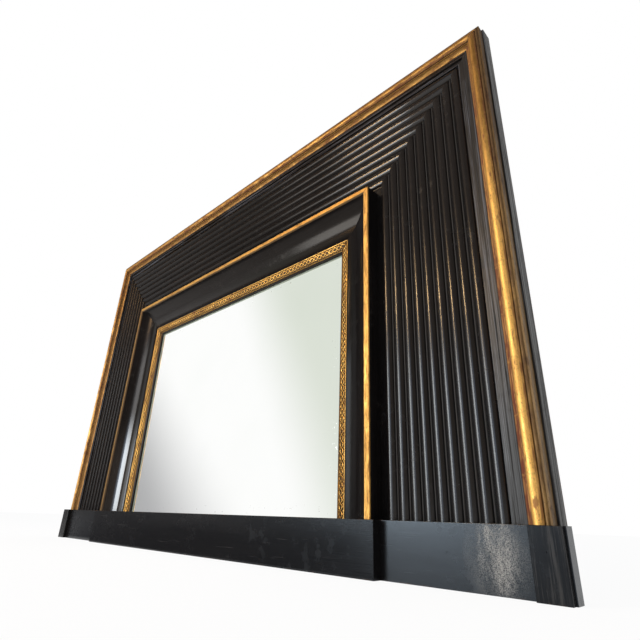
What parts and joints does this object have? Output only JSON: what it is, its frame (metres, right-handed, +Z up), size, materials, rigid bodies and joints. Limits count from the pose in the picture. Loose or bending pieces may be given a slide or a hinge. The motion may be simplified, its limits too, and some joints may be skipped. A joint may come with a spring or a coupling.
{
  "type": "overmantel mirror",
  "caption": "Wide rectangular mirror in a dark reeded frame with gilt torus, fillet and carved slip, mitred on three sides and standing on a stepped plinth.",
  "frame": {"origin": "middle of the base, halfway between the front of the centre block and the back of the carcass", "axes": "+X to the right seen from the front, -Y towards the front, +Z up"},
  "size_m": [1.505, 0.0812, 0.966],
  "materials": {
    "ebonised": "satin ebonised polish, slightly worn",
    "gilt": "water gilding over red bole, rubbed",
    "mirror": "silvered glass plate",
    "softwood": "plain old softwood",
    "brass": "dull brass",
    "steel": "darkened steel"
  },
  "bodies": {
    "root": {"backboard_1": "softwood", "backboard_2": "softwood", "backboard_3": "softwood", "backboard_4": "softwood", "carcass_bottom_rail": "softwood", "carcass_stile_left": "softwood", "carcass_stile_right": "softwood", "carcass_top_rail": "softwood", "cove_left": "ebonised", "cove_right": "ebonised", "cove_top": "ebonised", "gilt_fillet_left": "gilt", "gilt_fillet_right": "gilt", "gilt_fillet_top": "gilt", "gilt_torus_left": "gilt", "gilt_torus_right": "gilt", "gilt_torus_top": "gilt", "hanger_screw_left_1": "steel", "hanger_screw_left_2": "steel", "hanger_screw_right_1": "steel", "hanger_screw_right_2": "steel", "hanger_strap_left": "brass", "hanger_strap_right": "brass", "leaf_slip_left": "gilt", "leaf_slip_right": "gilt", "leaf_slip_top": "gilt", "mirror_plate": "mirror", "plate_block_left_1": "softwood", "plate_block_left_2": "softwood", "plate_block_left_3": "softwood", "plate_block_right_1": "softwood", "plate_block_right_2": "softwood", "plate_block_right_3": "softwood", "plate_block_top_1": "softwood", "plate_block_top_2": "softwood", "plate_block_top_3": "softwood", "plate_block_top_4": "softwood", "plinth_board": "ebonised", "plinth_centre_block": "ebonised", "plinth_core": "softwood", "plinth_end_block_left": "ebonised", "plinth_end_block_right": "ebonised", "reeded_board_left": "ebonised", "reeded_board_right": "ebonised", "reeded_board_top": "ebonised", "sight_slip_left": "ebonised", "sight_slip_right": "ebonised", "sight_slip_top": "ebonised"}
  },
  "joints": []
}
